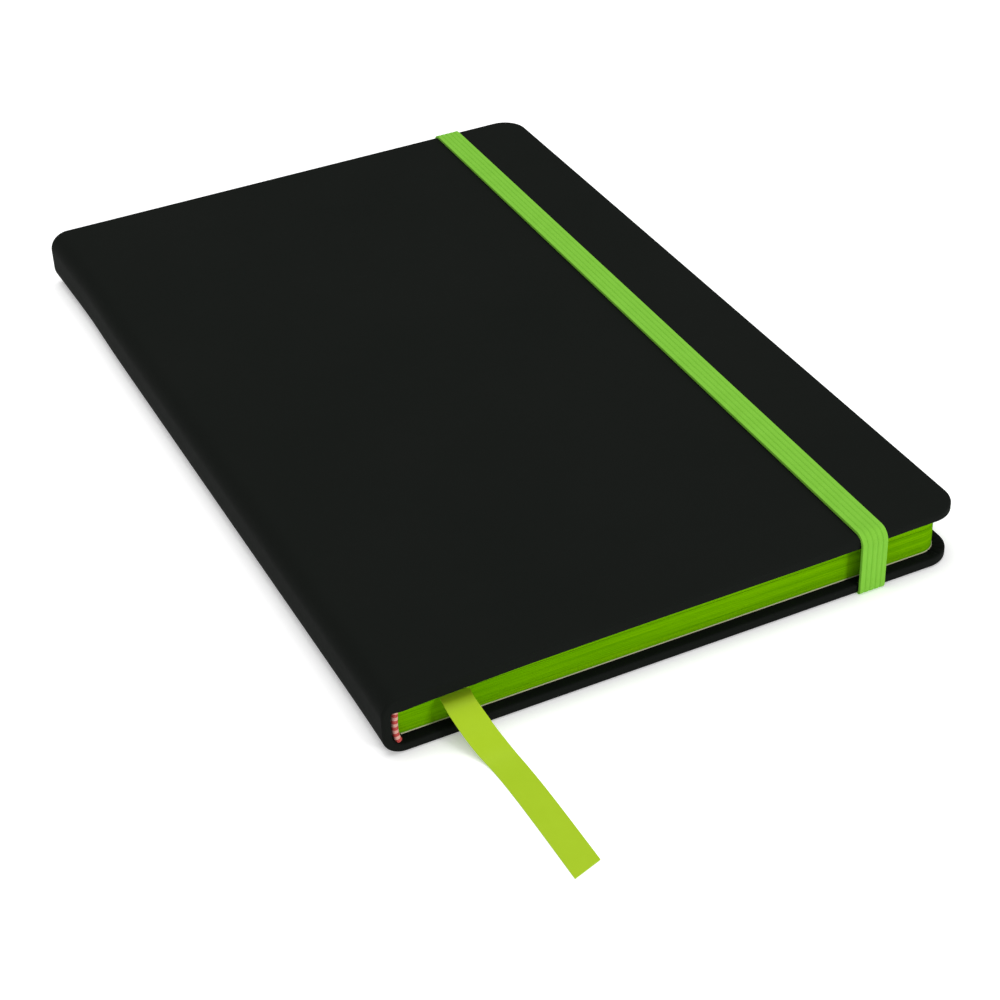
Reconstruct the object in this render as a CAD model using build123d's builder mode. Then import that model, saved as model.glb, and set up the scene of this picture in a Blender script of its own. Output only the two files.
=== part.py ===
"""Hard-cover notebook: sewn page block, case binding, ribbon marker and elastic closure.

The book lies shut on its back cover.  The origin is the middle of its footprint on the surface
below it, +X points at the fore edge, +Y at the head and +Z up.  Lengths are in millimetres.
"""
import os
from math import cos, radians, sin, sqrt, tan

from build123d import *

os.makedirs("parts", exist_ok=True)

# ---------------------------------------------------------------------------------------
# Driving dimensions
# ---------------------------------------------------------------------------------------
cover_width = 133.2          # from the spine's outer face to the fore edge of the covers
cover_height = 210.0         # tail to head
cover_corner_radius = 7.0
cover_edge_round = 0.9       # the skin's soft turn over the board's edge
board_thickness = 1.4
skin_thickness = 0.45        # padded leathercloth
turn_in = 12.0               # width of the skin folded over onto the inner face
square = 2.65                # how far the covers stand past the pages

spine_radius = 4.5           # outer rounding from the spine's face into each cover
spine_skin_reach = 2.9       # depth of the rigid part of the spine, from its outer face
hinge_depth = 2.0            # depth of both cover hinges, from the spine's outer face
hinge_radius = 2.4           # distance from a hinge to the nearest edge of what turns on it
board_setback = 7.0          # the soft joint beside the spine has no board in it
card_thickness = 0.6
hollow_depth = 2.1           # depth at which the lined back of the pages starts

paper_thickness = 0.15       # endpapers
section_count = 12
section_thickness = 0.72     # a folded section of eight leaves
section_fold_round = 0.3
page_corner_radius = 4.5
page_back_depth = 2.9        # depth of the folds, from the spine's outer face
page_back_round = 2.1        # rounding of the page block's back towards each cover

lining_thickness = 0.15
mull_thickness = 0.25
spine_paper_margin = 1.3     # lining and mull stop this short of the block's two faces
thread_diameter = 0.35
thread_clearance = 0.02      # between the stitches and the folds
thread_stations = 5
thread_pitch = 42.0

band_depth = 1.7             # depth of a headband's bead, from the spine's outer face
band_size = 1.9              # bead's width
band_rise = 1.15             # bead's height above the ends of the pages
band_round = 0.5
band_tape_thickness = 0.2
band_tape_length = 6.0

ribbon_width = 6.4
ribbon_thickness = 0.2
ribbon_after_section = 8     # the ribbon lies on top of this section
ribbon_run_share = 0.45      # share of a run that the bend at its end may take
ribbon_exit_depth = 16.2     # ribbon's middle where it leaves the pages at the tail
ribbon_head_depth = 8.6      # ribbon's middle at the head, beside the folds
ribbon_fall_angle = 63.0     # slope of its fall to the surface below
ribbon_drop_start = 4.2      # how far past the covers' tail edge it turns down
ribbon_flat_length = 37.4    # from where the fall would meet the surface to the cut end

elastic_width = 6.3
elastic_thickness = 0.9
elastic_tail_inset = 22.45   # band's middle from the fore edge, at the tail
elastic_head_inset = 20.55   # and at the head
elastic_clearance = 0.05     # between the covers' ends and the band's legs
anchor_slot_inset = 4.0      # from the back cover's end to the slot for the band
anchor_slot_width = 0.9
anchor_tab_length = 6.0      # band end glued to the inner face of the back cover
anchor_clearance = 0.1

# ---------------------------------------------------------------------------------------
# Stations worked out from them
# ---------------------------------------------------------------------------------------
spine_x = -cover_width / 2
fore_x = cover_width / 2
half_height = cover_height / 2
cover_thickness = board_thickness + 2 * skin_thickness

page_half_height = half_height - square
page_fore_x = fore_x - square
back_paste_z = cover_thickness
back_fly_z = back_paste_z + paper_thickness
block_bottom_z = back_fly_z + paper_thickness
ribbon_z = block_bottom_z + ribbon_after_section * section_thickness
block_top_z = block_bottom_z + section_count * section_thickness + ribbon_thickness
front_paste_z = block_top_z + paper_thickness
front_inner_z = front_paste_z + paper_thickness
total_thickness = front_inner_z + cover_thickness

hinge_x = spine_x + hinge_depth
cover_start_x = hinge_x + hinge_radius
paper_start_x = cover_start_x + anchor_clearance
board_start_x = spine_x + board_setback
board_fore_x = fore_x - skin_thickness
board_half_height = half_height - skin_thickness
board_corner_radius = cover_corner_radius - skin_thickness
window_fore_x = fore_x - turn_in
window_half_height = half_height - turn_in


def panel(left, right, half_length, radius):
    """A flat outline with square corners at the spine and round ones at the fore edge."""
    with BuildSketch() as outline:
        with Locations(((left + right) / 2, 0)):
            Rectangle(right - left, 2 * half_length)
        fillet(outline.vertices().group_by(Axis.X)[-1], radius)
    return outline.sketch


def strip(left, right, near, far):
    """A plain rectangle between two X and two Y stations."""
    with BuildSketch() as outline:
        with Locations(((left + right) / 2, (near + far) / 2)):
            Rectangle(right - left, far - near)
    return outline.sketch


def save(piece, name):
    """Label a finished piece and write it to its own STEP file."""
    piece.label = name
    export_step(piece, f"parts/{name}.step")


# ---------------------------------------------------------------------------------------
# Covers: a board in a skin that turns over its three free edges
# ---------------------------------------------------------------------------------------
def cover_skin(inner_z, outward):
    """The skin of one cover, from its inner face at inner_z outward (+1 up, -1 down)."""
    with BuildPart() as skin:
        with BuildSketch(Plane.XY.offset(inner_z)):
            add(panel(cover_start_x, fore_x, half_height, cover_corner_radius))
        extrude(amount=outward * cover_thickness)
        flat_faces = skin.faces().filter_by(Axis.Z)
        free_from_x = cover_start_x + cover_edge_round
        outer_edges = flat_faces.edges().filter_by(lambda edge: edge.center().X > free_from_x)
        fillet(outer_edges, cover_edge_round)
        with BuildSketch(Plane.XY.offset(inner_z + outward * skin_thickness)):
            add(panel(cover_start_x, board_fore_x, board_half_height, board_corner_radius))
        extrude(amount=outward * board_thickness, mode=Mode.SUBTRACT)
        with BuildSketch(Plane.XY.offset(inner_z)):
            add(strip(cover_start_x, window_fore_x, -window_half_height, window_half_height))
        extrude(amount=outward * skin_thickness, mode=Mode.SUBTRACT)
    return skin.part


def cover_board(inner_z, outward):
    """The stiff board inside one cover."""
    with BuildPart() as board:
        with BuildSketch(Plane.XY.offset(inner_z + outward * skin_thickness)):
            add(panel(board_start_x, board_fore_x, board_half_height, board_corner_radius))
        extrude(amount=outward * board_thickness)
    return board.part


def pastedown(inner_z, outward):
    """An endpaper glued to one cover: over the turn-ins, and down onto the board between them."""
    with BuildPart() as paper:
        with BuildSketch(Plane.XY.offset(inner_z)):
            add(panel(paper_start_x, page_fore_x, page_half_height, page_corner_radius))
        extrude(amount=-outward * paper_thickness)
        with BuildSketch(Plane.XY.offset(inner_z)):
            add(strip(paper_start_x, window_fore_x, -window_half_height, window_half_height))
        extrude(amount=outward * skin_thickness)
        well_fore_x = window_fore_x - paper_thickness
        well_half_height = window_half_height - paper_thickness
        with BuildSketch(Plane.XY.offset(inner_z - outward * paper_thickness)):
            add(strip(paper_start_x, well_fore_x, -well_half_height, well_half_height))
        extrude(amount=outward * skin_thickness, mode=Mode.SUBTRACT)
    return paper.part


with BuildPart() as front_cover_skin:
    add(cover_skin(front_inner_z, 1))
save(front_cover_skin.part, "front_cover_skin")

with BuildPart() as front_board:
    add(cover_board(front_inner_z, 1))
save(front_board.part, "front_board")

with BuildPart() as front_pastedown:
    add(pastedown(front_inner_z, 1))
save(front_pastedown.part, "front_pastedown")

# The elastic's two ends pass through slots in the back cover.
tail_x = fore_x - elastic_tail_inset
head_x = fore_x - elastic_head_inset
band_ends = {"tail": (tail_x, -1), "head": (head_x, 1)}
slot_outer = half_height - anchor_slot_inset
slot_inner = slot_outer - anchor_slot_width
tab_inner = slot_inner - anchor_tab_length


def anchor_strips(middle_x, side, gap):
    """The three runs of a band end: along the outer face, through the slot, along the inner face."""
    left = middle_x - elastic_width / 2 - gap
    right = middle_x + elastic_width / 2 + gap
    outer_run = strip(left, right, side * half_height, side * (slot_outer - gap))
    slot_run = strip(left, right, side * (slot_outer + gap), side * (slot_inner - gap))
    inner_run = strip(left, right, side * (slot_outer + gap), side * (tab_inner - gap))
    return outer_run, slot_run, inner_run


with BuildPart() as back_cover_skin:
    add(cover_skin(cover_thickness, -1))
    for middle_x, side in band_ends.values():
        outer_run, slot_run, inner_run = anchor_strips(middle_x, side, anchor_clearance)
        with BuildSketch(Plane.XY):
            add(outer_run)
            add(slot_run)
        extrude(amount=skin_thickness, mode=Mode.SUBTRACT)
        with BuildSketch(Plane.XY.offset(cover_thickness - skin_thickness)):
            add(inner_run)
        extrude(amount=skin_thickness, mode=Mode.SUBTRACT)
save(back_cover_skin.part, "back_cover_skin")

with BuildPart() as back_board:
    add(cover_board(cover_thickness, -1))
    for middle_x, side in band_ends.values():
        slot_run = anchor_strips(middle_x, side, anchor_clearance)[1]
        with BuildSketch(Plane.XY.offset(skin_thickness)):
            add(slot_run)
        extrude(amount=board_thickness, mode=Mode.SUBTRACT)
save(back_board.part, "back_board")

with BuildPart() as back_pastedown:
    add(pastedown(cover_thickness, -1))
save(back_pastedown.part, "back_pastedown")

for end_name, (middle_x, side) in band_ends.items():
    outer_run, slot_run, inner_run = anchor_strips(middle_x, side, 0)
    with BuildPart() as elastic_anchor:
        with BuildSketch(Plane.XY):
            add(outer_run)
        extrude(amount=skin_thickness)
        with BuildSketch(Plane.XY):
            add(slot_run)
        extrude(amount=cover_thickness)
        with BuildSketch(Plane.XY.offset(cover_thickness - skin_thickness)):
            add(inner_run)
        extrude(amount=skin_thickness)
    save(elastic_anchor.part, f"elastic_anchor_{end_name}")

# ---------------------------------------------------------------------------------------
# Page block: sewn sections with a rounded back, and an endpaper on each face
# ---------------------------------------------------------------------------------------
def back_setback(height):
    """How far the rounded back recedes from its deepest line at a height above the surface."""
    from_face = min(height - block_bottom_z, block_top_z - height)
    if from_face >= page_back_round:
        return 0.0
    return page_back_round - sqrt(page_back_round**2 - (page_back_round - from_face) ** 2)


for number in range(1, section_count + 1):
    bottom_z = block_bottom_z + (number - 1) * section_thickness
    if number > ribbon_after_section:
        bottom_z += ribbon_thickness
    fold_x = spine_x + page_back_depth + back_setback(bottom_z + section_thickness / 2)
    with BuildPart() as section:
        with BuildSketch(Plane.XY.offset(bottom_z)):
            add(panel(fold_x, page_fore_x, page_half_height, page_corner_radius))
        extrude(amount=section_thickness)
        fold_edges = section.edges().filter_by(Axis.Y).group_by(Axis.X)[0]
        fillet(fold_edges, section_fold_round)
    save(section.part, f"section_{number:02d}")

with BuildPart() as back_flyleaf:
    with BuildSketch(Plane.XY.offset(back_fly_z)):
        add(panel(paper_start_x, page_fore_x, page_half_height, page_corner_radius))
    extrude(amount=paper_thickness)
save(back_flyleaf.part, "back_flyleaf")

with BuildPart() as front_flyleaf:
    with BuildSketch(Plane.XY.offset(block_top_z)):
        add(panel(paper_start_x, page_fore_x, page_half_height, page_corner_radius))
    extrude(amount=paper_thickness)
save(front_flyleaf.part, "front_flyleaf")

# The thread shows as one line of stitches over the folds at each sewing station.
thread_x = spine_x + page_back_depth - thread_diameter / 2 - thread_clearance
with BuildPart() as sewing_threads:
    with BuildSketch(Plane.XY.offset(block_bottom_z + spine_paper_margin)):
        with Locations((thread_x, 0)):
            with GridLocations(0, thread_pitch, 1, thread_stations):
                Circle(thread_diameter / 2)
    extrude(amount=block_top_z - block_bottom_z - 2 * spine_paper_margin)
save(sewing_threads.part, "sewing_threads")

# ---------------------------------------------------------------------------------------
# Spine: skin, card, then mull and paper lining on the block's back, and the headbands
# ---------------------------------------------------------------------------------------
card_x = spine_x + skin_thickness
flap_x = card_x + card_thickness
card_bottom_z = spine_radius   # the card lies on the flat of the spine only
card_span = total_thickness - 2 * spine_radius
end_sides = (-1, 1)

with BuildPart() as spine_skin:
    with BuildSketch(Plane.XZ) as spine_profile:
        with Locations((0, total_thickness / 2)):
            Rectangle(cover_width, total_thickness)
        fillet(spine_profile.vertices().group_by(Axis.X)[0], spine_radius)
        offset(amount=-skin_thickness, kind=Kind.INTERSECTION, mode=Mode.SUBTRACT)
        with Locations((spine_x + spine_skin_reach / 2, total_thickness / 2)):
            Rectangle(spine_skin_reach, total_thickness, mode=Mode.INTERSECT)
    extrude(amount=half_height, both=True)
    for side in end_sides:
        with BuildSketch(Plane.XY.offset(card_bottom_z)):
            add(strip(card_x, flap_x, side * (half_height - skin_thickness), side * half_height))
            flap_inner_y = side * (half_height - turn_in)
            add(strip(flap_x, flap_x + skin_thickness, flap_inner_y, side * half_height))
        extrude(amount=card_span)
save(spine_skin.part, "spine_skin")

with BuildPart() as spine_card:
    with BuildSketch(Plane.XY.offset(card_bottom_z)):
        add(strip(card_x, flap_x, skin_thickness - half_height, half_height - skin_thickness))
    extrude(amount=card_span)
save(spine_card.part, "spine_card")

lining_x = spine_x + hollow_depth
mull_x = lining_x + lining_thickness
lining_bottom_z = block_bottom_z + spine_paper_margin
lining_span = block_top_z - block_bottom_z - 2 * spine_paper_margin

with BuildPart() as spine_lining:
    with BuildSketch(Plane.XY.offset(lining_bottom_z)):
        add(strip(lining_x, mull_x, -page_half_height, page_half_height))
    extrude(amount=lining_span)
save(spine_lining.part, "spine_lining")

with BuildPart() as spine_mull:
    with BuildSketch(Plane.XY.offset(lining_bottom_z)):
        add(strip(mull_x, mull_x + mull_thickness, -page_half_height, page_half_height))
    extrude(amount=lining_span)
save(spine_mull.part, "spine_mull")

bead_x = spine_x + band_depth
tape_x = lining_x - band_tape_thickness
for band_name, side in (("tailband", -1), ("headband", 1)):
    page_end_y = side * page_half_height
    bead_top_y = side * (page_half_height + band_rise)
    tape_end_y = side * (page_half_height - band_tape_length)
    with BuildPart() as band:
        with BuildSketch(Plane.XY.offset(lining_bottom_z)):
            add(strip(bead_x, bead_x + band_size, page_end_y, bead_top_y))
        extrude(amount=lining_span)
        far_face = band.faces().filter_by(Axis.Y).sort_by(Axis.Y)[-1 if side > 0 else 0]
        fillet(far_face.edges(), band_round)
        with BuildSketch(Plane.XY.offset(lining_bottom_z)):
            add(strip(tape_x, lining_x, tape_end_y, page_end_y))
        extrude(amount=lining_span)
    save(band.part, band_name)

# ---------------------------------------------------------------------------------------
# Ribbon marker: along the pages, out at the tail, and down onto the surface
# ---------------------------------------------------------------------------------------
exit_x = spine_x + ribbon_exit_depth
ribbon_head_x = spine_x + ribbon_head_depth
with BuildPart() as ribbon_inside:
    with BuildSketch(Plane.XY.offset(ribbon_z)):
        with BuildLine():
            Polyline(
                (exit_x - ribbon_width / 2, -page_half_height),
                (exit_x + ribbon_width / 2, -page_half_height),
                (ribbon_head_x + ribbon_width / 2, page_half_height),
                (ribbon_head_x - ribbon_width / 2, page_half_height),
                close=True,
            )
        make_face()
    extrude(amount=ribbon_thickness)
save(ribbon_inside.part, "ribbon_inside")

ribbon_middle_z = ribbon_z + ribbon_thickness / 2
ribbon_rest_z = ribbon_thickness / 2
fall_run = (ribbon_middle_z - ribbon_rest_z) / sin(radians(ribbon_fall_angle))
fall_reach = fall_run * cos(radians(ribbon_fall_angle))
drop_y = -half_height - ribbon_drop_start
landing_y = drop_y - fall_reach
ribbon_route = [
    (exit_x, -page_half_height, ribbon_middle_z),
    (exit_x, drop_y, ribbon_middle_z),
    (exit_x, landing_y, ribbon_rest_z),
    (exit_x, landing_y - ribbon_flat_length, ribbon_rest_z),
]


def route_radii(points):
    """A radius for each corner, as large as its shorter run allows."""
    radii = []
    for before, here, after in zip(points, points[1:], points[2:]):
        run_in = Vector(*here) - Vector(*before)
        run_out = Vector(*after) - Vector(*here)
        half_turn = radians(run_in.get_angle(run_out) / 2)
        radii.append(ribbon_run_share * min(run_in.length, run_out.length) / tan(half_turn))
    return radii


ribbon_radii = route_radii(ribbon_route)
with BuildPart() as ribbon_tail:
    with BuildLine() as ribbon_path:
        FilletPolyline(*ribbon_route, radius=ribbon_radii)
    with BuildSketch(Plane(origin=ribbon_route[0], x_dir=(1, 0, 0), z_dir=(0, -1, 0))):
        Rectangle(ribbon_width, ribbon_thickness)
    sweep(path=ribbon_path.wires()[0])
save(ribbon_tail.part, "ribbon_tail")
print("ribbon radii", [round(radius, 1) for radius in ribbon_radii])
ribbon_length = sum(edge.length for edge in ribbon_path.edges())
swept_volume = ribbon_width * ribbon_thickness * ribbon_length
print("ribbon length", round(ribbon_length, 2))
print("ribbon volume over section times length", round(ribbon_tail.part.volume / swept_volume, 4))

# ---------------------------------------------------------------------------------------
# Elastic closure: a strap over the front cover and a leg down each end of the book
# ---------------------------------------------------------------------------------------
leg_inner_y = half_height + elastic_clearance
leg_outer_y = leg_inner_y + elastic_thickness
half_width = elastic_width / 2

with BuildPart() as elastic_strap:
    with BuildSketch(Plane.XY.offset(total_thickness)):
        with BuildLine():
            Polyline(
                (tail_x - half_width, -leg_outer_y),
                (tail_x + half_width, -leg_outer_y),
                (head_x + half_width, leg_outer_y),
                (head_x - half_width, leg_outer_y),
                close=True,
            )
        make_face()
    extrude(amount=elastic_thickness)
save(elastic_strap.part, "elastic_strap")

for end_name, (middle_x, side) in band_ends.items():
    leg_near_y = side * leg_inner_y
    leg_far_y = side * leg_outer_y
    with BuildPart() as elastic_leg:
        with BuildSketch(Plane.XY):
            add(strip(middle_x - half_width, middle_x + half_width, leg_near_y, leg_far_y))
        extrude(amount=total_thickness)
    save(elastic_leg.part, f"elastic_leg_{end_name}")

print("book", round(cover_width, 2), round(cover_height, 2), round(total_thickness, 2))
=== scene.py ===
"""Looks of a hard-cover notebook with an elastic closure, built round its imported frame.

The book lies shut on its back cover.  +X points at the fore edge, +Y at the head and +Z up.
Lengths are in metres; values written as ``n * MM`` are a maker's millimetres.
"""

import logging
import math
from collections.abc import Callable, Iterable, Sequence
from dataclasses import dataclass, field
from enum import Enum

import bmesh
import bpy
from mathutils import Matrix, Vector


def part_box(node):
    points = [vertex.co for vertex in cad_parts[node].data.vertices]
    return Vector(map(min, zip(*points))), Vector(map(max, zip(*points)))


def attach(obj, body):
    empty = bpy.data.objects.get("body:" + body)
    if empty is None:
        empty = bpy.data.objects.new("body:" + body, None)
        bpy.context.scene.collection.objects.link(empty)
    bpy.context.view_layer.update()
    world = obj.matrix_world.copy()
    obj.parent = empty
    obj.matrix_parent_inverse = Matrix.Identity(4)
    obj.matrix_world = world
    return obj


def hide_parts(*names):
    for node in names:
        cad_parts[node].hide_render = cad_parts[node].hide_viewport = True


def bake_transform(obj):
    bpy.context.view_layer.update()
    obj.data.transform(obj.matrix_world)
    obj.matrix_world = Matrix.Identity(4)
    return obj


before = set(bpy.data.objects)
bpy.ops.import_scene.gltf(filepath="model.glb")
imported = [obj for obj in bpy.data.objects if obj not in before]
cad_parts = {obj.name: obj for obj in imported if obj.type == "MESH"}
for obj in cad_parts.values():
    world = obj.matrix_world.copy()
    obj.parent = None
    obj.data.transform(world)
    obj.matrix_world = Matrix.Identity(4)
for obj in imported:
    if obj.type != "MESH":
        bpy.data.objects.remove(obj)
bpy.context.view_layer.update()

MM = 0.001
SECTIONS = [f"section_{number:02d}" for number in range(1, 13)]
log = logging.getLogger("notebook")

Point = tuple[float, float, float]
Colour = tuple[float, float, float, float]


class Face(Enum):
    """Which cover a piece belongs to, and which way its outer face looks."""

    FRONT = 1
    BACK = -1

    @property
    def label(self) -> str:
        """The face's name as it stands in node and piece names."""
        return self.name.lower()


class End(Enum):
    """The two ends of the book along Y."""

    TAIL = -1
    HEAD = 1


# ---------------------------------------------------------------------------------------
# Sizes read from the frame
# ---------------------------------------------------------------------------------------
@dataclass(frozen=True)
class BookSizes:
    """The main stations of the shut book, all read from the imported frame."""

    spine_x: float
    fore_x: float
    half_height: float
    top_z: float
    cover_thickness: float
    page_fore_x: float
    page_half_height: float
    block_bottom_z: float
    block_top_z: float

    @classmethod
    def from_frame(cls) -> "BookSizes":
        """Measure the frame's own boxes.

        Returns:
            The stations of the shut book.
        """
        cover_low, cover_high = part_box("front_cover_skin")
        first_low, first_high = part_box(SECTIONS[0])
        last_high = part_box(SECTIONS[-1])[1]
        return cls(
            spine_x=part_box("spine_skin")[0][0],
            fore_x=cover_high[0],
            half_height=cover_high[1],
            top_z=cover_high[2],
            cover_thickness=cover_high[2] - cover_low[2],
            page_fore_x=first_high[0],
            page_half_height=first_high[1],
            block_bottom_z=first_low[2],
            block_top_z=last_high[2],
        )

    @property
    def middle_z(self) -> float:
        """Height half way through the shut book."""
        return self.top_z / 2


# ---------------------------------------------------------------------------------------
# Mesh helpers
# ---------------------------------------------------------------------------------------
def smoothstep(value: float) -> float:
    """An S-shaped ramp from 0 to 1, clamped outside."""
    value = min(max(value, 0.0), 1.0)
    return value * value * (3 - 2 * value)


def quarter_turn(steps: int) -> list[float]:
    """Angles of a quarter turn in equal steps, both ends included."""
    return [math.pi / 2 * step / steps for step in range(steps + 1)]


def link_object(name: str, mesh: bpy.types.Mesh) -> bpy.types.Object:
    """Put a mesh into the scene under its own name."""
    piece = bpy.data.objects.new(name, mesh)
    bpy.context.scene.collection.objects.link(piece)
    return piece


def mesh_piece(
    name: str,
    points: Sequence[Point],
    faces: Sequence[Sequence[int]],
    uvs: Sequence[tuple[float, float]] | None = None,
    smooth: bool = True,
) -> bpy.types.Object:
    """Make an object from points and faces.

    Args:
        name: the piece's name.
        points: vertex positions in metres.
        faces: vertex numbers of each face, counter-clockwise from outside.
        uvs: one pair of surface coordinates for each point, or None.
        smooth: whether the faces are shaded smooth.

    Returns:
        The new object.
    """
    mesh = bpy.data.meshes.new(name)
    mesh.from_pydata([tuple(point) for point in points], [], [tuple(face) for face in faces])
    mesh.update()
    if uvs is not None:
        layer = mesh.uv_layers.new(name="surface")
        for loop in mesh.loops:
            layer.data[loop.index].uv = uvs[loop.vertex_index]
    for polygon in mesh.polygons:
        polygon.use_smooth = smooth
    return link_object(name, mesh)


def grid_faces(rows: int, columns: int, closed: bool = False) -> list[tuple[int, ...]]:
    """Faces of a grid whose points are stored row by row.

    Args:
        rows: number of rows.
        columns: points in each row.
        closed: whether the last column joins the first.

    Returns:
        The faces as tuples of four point numbers.
    """
    faces = []
    spans = columns if closed else columns - 1
    for row in range(rows - 1):
        for column in range(spans):
            beside = (column + 1) % columns
            here = row * columns
            above = here + columns
            faces.append((here + column, here + beside, above + beside, above + column))
    return faces


def finished_mesh(piece: bpy.types.Object) -> None:
    """Turn a piece with modifiers into a plain mesh of the same name."""
    graph = bpy.context.evaluated_depsgraph_get()
    evaluated = piece.evaluated_get(graph)
    mesh = bpy.data.meshes.new_from_object(evaluated, preserve_all_data_layers=True, depsgraph=graph)
    piece.modifiers.clear()
    old = piece.data
    piece.data = mesh
    bpy.data.meshes.remove(old)
    mesh.name = piece.name


def sharpen(piece: bpy.types.Object, degrees: float = 38.0) -> None:
    """Shade a piece smooth with a crisp line wherever its faces meet at a steep angle."""
    piece.data.shade_smooth()
    piece.data.set_sharp_from_angle(angle=math.radians(degrees))


def face_outwards(piece: bpy.types.Object) -> None:
    """Turn every face of a closed mesh outwards."""
    work = bmesh.new()
    work.from_mesh(piece.data)
    bmesh.ops.recalc_face_normals(work, faces=work.faces)
    work.to_mesh(piece.data)
    work.free()


def thicken(piece: bpy.types.Object, thickness: float, offset: float = -1.0) -> None:
    """Give an open sheet its thickness and make it a plain mesh."""
    wall = piece.modifiers.new("wall", "SOLIDIFY")
    wall.thickness = thickness
    wall.offset = offset
    wall.use_even_offset = True
    finished_mesh(piece)
    sharpen(piece)


# ---------------------------------------------------------------------------------------
# Node helpers
# ---------------------------------------------------------------------------------------
class NodeBuilder:
    """Adds nodes to one tree, with their inputs given by name."""

    def __init__(self, tree: bpy.types.NodeTree) -> None:
        """Remember the tree that nodes are added to."""
        self.tree = tree

    def add(self, kind: str, inputs: dict | None = None, **settings: object) -> bpy.types.Node:
        """Add a node.

        Args:
            kind: the node's type name.
            inputs: a value or another node's output for each input, by name or number.
            settings: properties set on the node first.

        Returns:
            The new node.
        """
        node = self.tree.nodes.new(kind)
        for name, value in settings.items():
            setattr(node, name, value)
        for name, value in (inputs or {}).items():
            if isinstance(value, bpy.types.NodeSocket):
                self.link(value, node, name)
            else:
                node.inputs[name].default_value = value
        return node

    def link(self, value: bpy.types.NodeSocket, node: bpy.types.Node, name: str | int) -> None:
        """Feed an output into a node's input."""
        self.tree.links.new(value, node.inputs[name])

    def group(self, tree: bpy.types.NodeTree, **inputs: object) -> bpy.types.Node:
        """Add a shared group; an input's name is written with _ for its spaces."""
        named = {name.replace("_", " "): value for name, value in inputs.items()}
        return self.add("ShaderNodeGroup", named, node_tree=tree)

    def maths(self, operation: str, *values: object, clamp: bool = False) -> bpy.types.NodeSocket:
        """Add a Math node and return its result."""
        node = self.add("ShaderNodeMath", dict(enumerate(values)), operation=operation, use_clamp=clamp)
        return node.outputs[0]

    def mix(self, share: object, first: object, second: object) -> bpy.types.NodeSocket:
        """Mix two colours and return the result."""
        inputs = {0: share, 6: first, 7: second}
        return self.add("ShaderNodeMix", inputs, data_type="RGBA").outputs[2]


Tree = tuple[NodeBuilder, bpy.types.NodeOutputs, bpy.types.Node]


def new_tree(name: str, kind: str, inputs: dict[str, str], outputs: dict[str, str]) -> Tree:
    """Start a node group.

    Args:
        name: the group's name.
        kind: Shader or Geometry.
        inputs: the kind of each input, such as Float or Vector.
        outputs: the kind of each output.

    Returns:
        A builder for the group, what the group is given, and its output node.
    """
    tree = bpy.data.node_groups.new(name, f"{kind}NodeTree")
    for way, sockets in (("INPUT", inputs), ("OUTPUT", outputs)):
        for label, socket in sockets.items():
            tree.interface.new_socket(label, in_out=way, socket_type=f"NodeSocket{socket}")
    nodes = NodeBuilder(tree)
    return nodes, nodes.add("NodeGroupInput").outputs, nodes.add("NodeGroupOutput")


def shader_group(name: str, inputs: dict[str, float], outputs: Sequence[str]) -> Tree:
    """Start a shader group that reads a vector and numbers, each with its default."""
    kinds = {"Vector": "Vector", **{label: "Float" for label in inputs}}
    tree = new_tree(name, "Shader", kinds, {label: "Float" for label in outputs})
    for socket in tree[0].tree.interface.items_tree:
        if socket.in_out == "INPUT" and socket.name in inputs:
            socket.default_value = inputs[socket.name]
    return tree


def run_tree(piece: bpy.types.Object, tree: bpy.types.NodeTree, values: dict[str, object]) -> None:
    """Run a Geometry Nodes tree on a piece and keep its result as a plain mesh.

    Args:
        piece: the object whose mesh the tree takes in.
        tree: the tree.
        values: each named input's value.
    """
    modifier = piece.modifiers.new(tree.name, "NODES")
    modifier.node_group = tree
    for item in tree.interface.items_tree:
        if item.in_out == "INPUT" and item.name in values:
            modifier[item.identifier] = values[item.name]
    finished_mesh(piece)


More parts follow.
